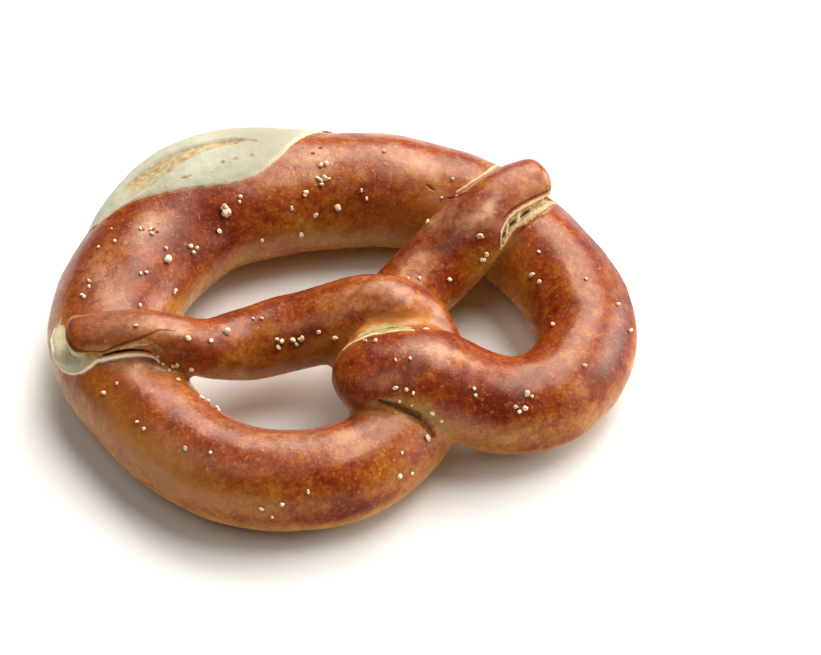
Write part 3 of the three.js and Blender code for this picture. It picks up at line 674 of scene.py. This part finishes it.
class Seam:
    """Fields of one seam of torn dough: how close a point is to its thread, in units of the
    thread's half width, and how far inside the torn dough it is."""

    ROWS = 80
    REACH = 1.25  # half widths of the thread over which its dough is torn

    def __init__(self, seam, points):
        line, shares = traced(seam["through"], self.ROWS)
        along = unit(np.gradient(line, axis=0))
        side, up = across_and_above(along)
        near = nearest_rows(line, points)
        off = points - line[near]
        swell = thread_swell(shares[near])
        across = dot(off, side[near]) / (seam["width"] / 2 * swell)
        above = dot(off, up[near]) / (seam["height"] / 2 * swell)
        beyond = dot(off, along[near]) / (seam["width"] / 2)
        beyond = np.where((near == 0) | (near == self.ROWS - 1), beyond, 0)
        self.rho = np.sqrt(across ** 2 + above ** 2 + beyond ** 2)
        self.inside = (self.REACH - self.rho) * seam["width"] / 2


def line_share(points, laid, shares, half_width, firm=0.35, ragged=0):
    """1 along the middle of a line laid on the skin, 0 at its sides and past its ends."""
    found = [laid.find(point) for point in points]
    share = shares[np.array([row for _, row, _ in found])]
    distance = np.array([away for *_, away in found])
    taper = 0.45 + 0.55 * np.clip(4 * share * (1 - share), 0, 1) ** 0.5
    return smooth_step(1.0, firm, distance / (half_width * taper) + ragged)


class FineLines:
    """The fine lines, laid on the skin, and how near its points are to them."""

    def __init__(self, surface):
        self.drawn = []
        for shows, half_width, proud, through in LINES:
            length = np.linalg.norm(np.diff(through, axis=0), axis=1).sum()
            line, shares = traced(through, 8 + int(length / LINE_STEP))
            laid = tree_of([surface.find_nearest(Vector(point))[0] for point in line])
            self.drawn.append((shows, half_width, proud, laid, shares))

    def near(self, points, margin):
        close = np.zeros(len(points), bool)
        for _, half_width, _, laid, shares in self.drawn:
            close |= line_share(points, laid, shares, half_width + margin) > 0
        return close

    def shown(self, points):
        """For each kind the strongest share of its lines, and how far all lines push the crust."""
        lift = np.zeros(len(points))
        strongest = {}
        ragged = 0.45 * lumpy(points, 1.5, 7) + 0.25 * lumpy(points, 0.7, 8)
        for shows, half_width, proud, laid, shares in self.drawn:
            firm = 0.0 if shows in BLURRED_LINES else 0.3
            frayed = 0.4 if shows in EVEN_LINES else 1
            share = line_share(points, laid, shares, half_width, firm, frayed * ragged)
            strongest[shows] = np.maximum(strongest.get(shows, 0), share)
            lift += proud * share
        return strongest, lift


def patch_of(skin, kind):
    """The strength of all patches of a kind, faded towards their rims."""
    whole = np.zeros(len(skin.station))
    for rope, patches in PATCHES[kind].items():
        for station, turn, along, round_it, strength in patches:
            aside = (skin.turn - turn + 180) % 360 - 180
            away = ((skin.station - station) / along) ** 2 + (aside / round_it) ** 2
            whole += strength * np.exp(-away) * skin.on(rope)
    return whole


def refine(bm, chosen):
    """Splits the skin's faces finer around the chosen points."""
    edges = [e for e in bm.edges if chosen[e.verts[0].index] or chosen[e.verts[1].index]]
    bmesh.ops.subdivide_edges(bm, edges=edges, cuts=1, use_grid_fill=True)
    bm.verts.index_update()


def points_of(bm):
    return np.array([v.co[:] for v in bm.verts])


def refine_tears(bm, lines):
    """Splits the skin finer at the split's edge, its tear, the seams and the fine lines."""
    points = points_of(bm)
    split = SplitBelly(Skin(points))
    close = (np.abs(split.inside) < EDGE_FINE) | (split.tear > 0) | lines.near(points, LINE_FINE)
    for seam in SEAMS:
        close |= Seam(seam, points).rho < SEAM_FINE
    refine(bm, close)
    points = points_of(bm)
    on_edge = np.abs(SplitBelly(Skin(points)).inside) < EDGE_FINER
    refine(bm, on_edge | lines.near(points, LINE_FINER))


def crust_layers(skin, points, upward):
    """How dark each point of the crust is baked, with painted shade added, and where it is golden or
    dull or has a painted highlight or painted shade.
    """
    height = points[:, 2]
    bake_and_shade = BAKED + BAKED_ON_TOP * smooth_step(-0.35, 0.85, upward)
    bake_and_shade += BAKED_LOW * smooth_step(10, 1, height)
    bake_and_shade += BAKED_BY_REGION * lumpy(points, 15, 5) + BAKED_BY_SPOT * lumpy(points, 5, 6)
    sheltered = 0.8 * smooth_step(3.5, 0.2, skin.gap) * smooth_step(3, 9, height)
    # the dark patches deepen the browning, and some of them are painted shade
    layers = {"bake_and_shade": bake_and_shade + patch_of(skin, "dark"), "golden": sheltered + patch_of(skin, "golden")}
    layers |= {kind: patch_of(skin, kind) for kind in ("painted_highlight", "dull", "painted_shade")}
    return {name: np.clip(values, 0, 1) for name, values in layers.items()}


def shape_dough(mesh):
    """Smooths the raw dough, opens its split and its tears, and stores what its finish needs."""
    bm = bmesh.new()
    bm.from_mesh(mesh)
    for _ in range(3):
        bmesh.ops.smooth_vert(bm, verts=bm.verts, factor=0.5,
                              use_axis_x=True, use_axis_y=True, use_axis_z=True)
    bm.verts.index_update()
    lines = FineLines(BVHTree.FromBMesh(bm))
    refine_tears(bm, lines)

    points = points_of(bm)
    bm.normal_update()
    normals = np.array([v.normal[:] for v in bm.verts])
    skin = Skin(points)
    split = SplitBelly(skin)
    torn = np.max([Seam(seam, points).inside for seam in SEAMS if seam["bare"]], axis=0)
    strongest, pushed = lines.shown(points)

    lift = WAVE_HEIGHT * lumpy(points, WAVE_SIZE, 1) + RIPPLE_HEIGHT * lumpy(points, RIPPLE_SIZE, 2)
    lift += split.proud
    lift += LIP_HEIGHT * bump(split.inside, -0.8, 0.7)
    lift -= TRENCH_DEPTH * split.tear
    lift += pushed
    points = points + normals * lift[:, None]
    points[:, 2] = np.where(points[:, 2] < TRAY_PRESS, 0.0, points[:, 2])
    for v, point in zip(bm.verts, points):
        v.co = point * MM
    bm.normal_update()
    for face in bm.faces:
        face.smooth = True
    shaped = bpy.data.meshes.new("pretzel_bread")
    bm.to_mesh(shaped)
    bm.free()
    bpy.data.meshes.remove(mesh)

    layers = crust_layers(skin, points, normals[:, 2])
    layers |= {"split_edge": split.inside, "seam_edge": torn, "tear": split.tear, **strongest}
    for name, values in layers.items():
        layer = shaped.attributes.new(name, "FLOAT", "POINT")
        layer.data.foreach_set("value", values.astype(np.float32))
    return shaped


# ---- Salt ----

def seeded_random(seed):
    state = seed
    while True:
        state = state * 16807 % 2147483647
        yield state / 2147483647


def grain_at(bm, centre, radius, stretch, spin):
    """A ball worn to a rounded, lumpy box, stretched and turned where it lies."""
    grain = bmesh.ops.create_icosphere(bm, subdivisions=2, radius=radius * MM)["verts"]
    for v in grain:
        boxy = sum(abs(c / radius / MM) ** 4 for c in v.co) ** 0.25
        lump = noise.noise(v.co / MM * 1.1 + centre * 900)
        v.co *= (0.92 + 0.45 * lump) / (0.35 + 0.65 * boxy)
    bmesh.ops.scale(bm, vec=stretch, verts=grain)
    turned = Matrix.Translation(centre) @ spin.to_matrix().to_4x4()
    bmesh.ops.transform(bm, matrix=turned, verts=grain)


def salt_grains(crust):
    """Coarse salt, each grain a worn lump sunk a little into the crust."""
    draw = seeded_random(SALT_SEED)

    def spread(reach):
        return reach * (2 * next(draw) - 1)

    surface = BVHTree.FromPolygons([v.co[:] for v in crust.vertices],
                                   [p.vertices[:] for p in crust.polygons])
    bm = bmesh.new()
    grains = []
    rows = [(rope, *row) for rope, clusters in SALT.items() for row in clusters]
    for rope, station, turn, along_reach, turn_reach, count, size in rows:
        for _ in range(count):
            at, angle = station + spread(along_reach), math.radians(turn + spread(turn_reach))
            radius = size / 2 * (0.95 + spread(0.15))
            stretch = [1.05 + spread(0.3), 0.95 + spread(0.2), 0.85 + spread(0.15)]
            spin = Euler([spread(math.pi) for _ in range(3)], "ZYX")
            section = Sections(rope, at)
            outside = (section.middle[0]
                       + section.side[0] * math.cos(angle) * (section.half_width[0] + SALT_DROP)
                       + section.up[0] * math.sin(angle) * (section.half_height[0] + SALT_DROP))
            spot, normal, _, _ = surface.find_nearest(Vector(outside) * MM)
            centre = spot + normal * radius * (1 - 2 * SALT_SUNK) * MM
            grains.append((centre, radius))
            grain_at(bm, centre, radius, stretch, spin)
    mesh = bpy.data.meshes.new("coarse_salt")
    bm.to_mesh(mesh)
    bm.free()
    return object_of("coarse_salt", mesh), grains


def shade_salt_feet(crust, grains):
    """Stores how near the crust is to the foot of a grain, where painted shade darkens it."""
    tree = tree_of([centre for centre, _ in grains])
    foot_shade = []
    for v in crust.vertices:
        _, row, away = tree.find(v.co)
        radius = grains[row][1] * MM
        foot_shade.append(1 - min(1, max(0, (away - radius) / (FOOT_SHADE_WIDTH * MM))))
    layer = crust.attributes.new("salt_foot_shade", "FLOAT", "POINT")
    layer.data.foreach_set("value", foot_shade)


# ---- Finishes ----

def linear(r, g, b):
    """An sRGB colour out of 255 as Blender's linear colour."""
    return (*(c / 12.92 if c <= 0.04045 else ((c + 0.055) / 1.055) ** 2.4
              for c in (r / 255, g / 255, b / 255)), 1)


class Finish:
    """A material's nodes, added in order and wired by name."""

    def __init__(self, name):
        self.material = bpy.data.materials.new(name)
        self.material.use_nodes = True
        self.tree = self.material.node_tree
        self.shader = self.tree.nodes["Principled BSDF"]

    def add(self, kind, inputs=None, **settings):
        made = self.tree.nodes.new(kind)
        for key, value in settings.items():
            setattr(made, key, value)
        for key, value in (inputs or {}).items():
            self.feed(made.inputs[key], value)
        return made

    def feed(self, socket, value):
        if isinstance(value, bpy.types.NodeSocket):
            self.tree.links.new(value, socket)
        else:
            socket.default_value = value

    def layer(self, name):
        return self.add("ShaderNodeAttribute", attribute_name=name).outputs["Fac"]

    def lumps(self, scale, detail, roughness, where):
        return self.add("ShaderNodeTexNoise", {"Vector": where, "Scale": scale, "Detail": detail,
                                               "Roughness": roughness}).outputs["Fac"]

    def math(self, operation, *values):
        made = self.add("ShaderNodeMath", operation=operation)
        for k, value in enumerate(values):
            self.feed(made.inputs[k], value)
        return made.outputs[0]

    def fade(self, value, low, high, to_low=0.0, to_high=1.0):
        return self.add("ShaderNodeMapRange", {"Value": value, "From Min": low, "From Max": high,
                                               "To Min": to_low, "To Max": to_high},
                        interpolation_type="SMOOTHSTEP").outputs["Result"]

    def ramp(self, value, *stops):
        made = self.add("ShaderNodeValToRGB", {"Fac": value})
        band = made.color_ramp
        while len(band.elements) < len(stops):
            band.elements.new(0.5)
        for element, (place, colour) in zip(band.elements, stops):
            element.position = place
            element.color = linear(*colour)
        return made.outputs["Color"]

    def mix(self, share, first, second, blend="MIX"):
        made = self.add("ShaderNodeMix", data_type="RGBA", blend_type=blend)
        self.feed(made.inputs["Factor"], share)
        self.feed(made.inputs["A"], first)
        self.feed(made.inputs["B"], second)
        return made.outputs["Result"]

    def specks(self, scale, rarity, where):
        """Small dots, of which only a share shows."""
        cells = self.add("ShaderNodeTexVoronoi", {"Vector": where, "Scale": scale, "Randomness": 1.0})
        lot = self.add("ShaderNodeSeparateColor", {"Color": cells.outputs["Color"]}).outputs[0]
        dots = self.fade(cells.outputs["Distance"], 0.12, 0.3, 1.0, 0.0)
        return self.math("MULTIPLY", dots, self.math("GREATER_THAN", lot, rarity))

    def roughen(self, height, strength, depth):
        """Gives the surface a fine grit, its depth in millimetres."""
        relief = self.add("ShaderNodeBump", {"Height": height, "Strength": strength,
                                             "Distance": depth * MM})
        self.feed(self.shader.inputs["Normal"], relief.outputs["Normal"])


def brown_crust(f, where, mottle, freckles, fine, speck):
    """Golden to near-black crust, with painted highlights, blisters and painted shade round the salt.
    """
    bake_and_shade = f.math("ADD", f.layer("bake_and_shade"), f.fade(mottle, 0.3, 0.7, -0.13, 0.13))
    bake_and_shade = f.math("ADD", bake_and_shade, f.fade(freckles, 0.3, 0.7, 0.13, -0.13))
    bake_and_shade = f.math("ADD", bake_and_shade, f.fade(fine, 0.3, 0.7, -0.1, 0.1))
    crust = f.ramp(bake_and_shade, (0.0, (200, 154, 76)), (0.25, (184, 127, 48)), (0.5, (163, 92, 28)),
                   (0.72, (139, 57, 16)), (1.0, (100, 27, 8)))
    golden = f.math("MULTIPLY", f.layer("golden"), f.fade(mottle, 0.25, 0.75, 0.45, 0.95))
    crust = f.mix(golden, crust, linear(190, 124, 52))
    # painted highlight: pale sheen laid over the crust colour
    painted_highlight = f.math("MULTIPLY", f.layer("painted_highlight"), f.fade(freckles, 0.35, 0.6, 0.3, 0.75))
    crust = f.mix(painted_highlight, crust, linear(208, 156, 116))
    crust = f.mix(f.math("MULTIPLY", speck, 0.18), crust, linear(222, 154, 90))
    flecks = f.fade(f.lumps(780, 2, 0.7, where), 0.58, 0.72)
    crust = f.mix(f.math("MULTIPLY", flecks, 0.3), crust, linear(214, 146, 78))
    # painted shade round the feet of the salt grains
    return f.mix(f.math("MULTIPLY", f.layer("salt_foot_shade"), 0.35), crust, linear(90, 34, 16))


def split_dough(f, where, split, strands):
    """Pale dough of the split, with a creamy lip along the crust and an ochre tear."""
    dough = f.ramp(strands, (0.3, (173, 168, 145)), (0.5, (188, 186, 165)), (0.7, (199, 197, 179)))
    # painted shade over part of the split's dough
    dough = f.mix(f.layer("painted_shade"), dough, linear(160, 154, 133))
    lip = f.math("MULTIPLY", f.fade(split, 0.1, 1.3, 1.0, 0.0), 0.75)
    dough = f.mix(lip, dough, linear(214, 196, 168))
    tear = f.math("MULTIPLY", f.fade(f.layer("tear"), 0.1, 0.8), f.fade(strands, 0.3, 0.6, 0.6, 1.0))
    ochre = f.ramp(f.lumps(620, 4, 0.7, where), (0.34, (154, 126, 80)), (0.5, (180, 158, 116)),
                   (0.66, (200, 184, 148)))
    return f.mix(tear, dough, ochre)


def with_lines(f, colour, strands):
    """The colour with the fine lines laid on it."""
    for shows, strength, *colours in LINE_COLOURS:
        if shows == "shaded_slit":  # its sides are sharp
            share = f.fade(f.layer(shows), 0.1, 0.7)
        else:
            share = f.math("MULTIPLY", f.layer(shows), strength)
        laid = linear(*colours[0])
        if len(colours) == 2:
            laid = f.ramp(strands, *zip((0.3, 0.7), colours))
        colour = f.mix(share, colour, laid)
    return colour


def crust_finish():
    f = Finish("baked_crust")
    where = f.add("ShaderNodeTexCoord").outputs["Object"]
    mottle = f.lumps(110, 4, 0.6, where)
    freckles = f.lumps(330, 4, 0.7, where)
    fine = f.lumps(1000, 3, 0.65, where)
    strands = f.lumps(260, 5, 0.65, where)
    speck = f.math("MAXIMUM", f.specks(430, 0.78, where), f.specks(900, 0.7, where))
    ragged = f.fade(f.lumps(420, 3, 0.55, where), 0.2, 0.8, -0.13, 0.13)
    split = f.math("ADD", f.layer("split_edge"), ragged)
    seam = f.math("ADD", f.layer("seam_edge"), ragged)
    pale_split, pale_seam = f.fade(split, -0.22, 0.14), f.fade(seam, -0.12, 0.2)

    colour = brown_crust(f, where, mottle, freckles, fine, speck)
    rim = f.math("MULTIPLY", f.fade(split, -1.1, -0.15), 0.5)
    colour = f.mix(rim, colour, linear(152, 92, 46))
    colour = f.mix(pale_split, colour, split_dough(f, where, split, strands))
    seam_dough = f.ramp(strands, (0.3, (182, 170, 136)), (0.6, (206, 198, 170)))
    colour = f.mix(pale_seam, colour, seam_dough)
    f.feed(f.shader.inputs["Base Color"], with_lines(f, colour, strands))

    pale = f.math("MAXIMUM", pale_split, pale_seam)
    for shows, *_ in LINE_COLOURS:
        if shows not in GLOSSY_LINES:
            pale = f.math("MAXIMUM", pale, f.layer(shows))
    rough = f.fade(mottle, 0.3, 0.7, 0.24, 0.34)
    rough = f.math("ADD", rough, f.math("MULTIPLY", f.layer("dull"), 0.25))
    rough = f.math("ADD", rough, f.math("MULTIPLY", pale, 0.32))
    f.feed(f.shader.inputs["Roughness"], rough)
    matt = f.math("MAXIMUM", f.layer("dull"), pale)
    f.feed(f.shader.inputs["Specular IOR Level"], f.fade(matt, 0.0, 1.0, 0.5, 0.12))
    f.shader.inputs["IOR"].default_value = 1.45
    f.shader.inputs["Specular Tint"].default_value = (1, 0.92, 0.8, 1)
    grit = f.math("ADD", f.math("MULTIPLY", fine, 0.6), f.math("MULTIPLY", speck, 0.5))
    f.roughen(grit, 0.24, 0.4)
    return f.material


def salt_finish():
    f = Finish("white_salt")
    where = f.add("ShaderNodeTexCoord").outputs["Object"]
    white = f.ramp(f.lumps(1500, 2, 0.5, where), (0.3, (224, 192, 158)), (0.7, (244, 220, 188)))
    f.feed(f.shader.inputs["Base Color"], white)
    f.shader.inputs["Roughness"].default_value = 0.6
    f.roughen(f.lumps(3000, 2, 0.5, where), 0.3, 0.2)
    return f.material


# ---- The pretzel ----

bread = object_of("pretzel_bread", shape_dough(raw_dough()))
bread.data.materials.append(crust_finish())
salt, grains = salt_grains(bread.data)
shade_salt_feet(bread.data, grains)
salt.data.materials.append(salt_finish())
for piece in (bread, salt):
    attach(piece, "root")
    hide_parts("pretzel")


# ---- Table, light and camera ----

def table_top():
    bm = bmesh.new()
    bmesh.ops.create_grid(bm, x_segments=1, y_segments=1, size=4)
    mesh = bpy.data.meshes.new("table_top")
    bm.to_mesh(mesh)
    bm.free()
    f = Finish("white_table")
    f.shader.inputs["Base Color"].default_value = (0.9, 0.9, 0.9, 1)
    f.shader.inputs["Roughness"].default_value = 0.9
    f.shader.inputs["Specular IOR Level"].default_value = 0.0
    mesh.materials.append(f.material)
    object_of("table_top", mesh)


def soft_sun(name, comes_from, strength, spread, colour):
    sun = bpy.data.lights.new(name, "SUN")
    sun.energy, sun.angle, sun.color = strength, math.radians(spread), colour
    lamp = object_of(name, sun)
    lamp.rotation_mode = "QUATERNION"
    lamp.rotation_quaternion = (-Vector(comes_from)).to_track_quat("-Z", "Y")


def white_room():
    """A white backdrop that hardly lights the pretzel."""
    world = bpy.data.worlds.new("white_room")
    bpy.context.scene.world = world
    world.use_nodes = True
    nodes, links = world.node_tree.nodes, world.node_tree.links
    room, backdrop = nodes["Background"], nodes.new("ShaderNodeBackground")
    for shade in (room, backdrop):
        shade.inputs["Color"].default_value = (1, 1, 1, 1)
    room.inputs["Strength"].default_value = ROOM_GLOW
    seen = nodes.new("ShaderNodeLightPath")
    chosen = nodes.new("ShaderNodeMixShader")
    links.new(seen.outputs["Is Camera Ray"], chosen.inputs[0])
    links.new(room.outputs[0], chosen.inputs[1])
    links.new(backdrop.outputs[0], chosen.inputs[2])
    links.new(chosen.outputs[0], nodes["World Output"].inputs["Surface"])


def place_camera():
    view = bpy.data.cameras.new("camera")
    view.lens = CAMERA_LENS
    view.sensor_width = 36
    view.clip_start, view.clip_end = 0.01, 30
    camera = object_of("camera", view)
    camera.location = Vector(CAMERA_AT) * MM
    camera.rotation_mode = "QUATERNION"
    camera.rotation_quaternion = Vector(CAMERA_LOOKS).to_track_quat("-Z", "Y")
    bpy.context.scene.camera = camera


table_top()
for light in LIGHTS:
    soft_sun(*light)
white_room()
place_camera()
bpy.context.scene.view_settings.view_transform = "Standard"
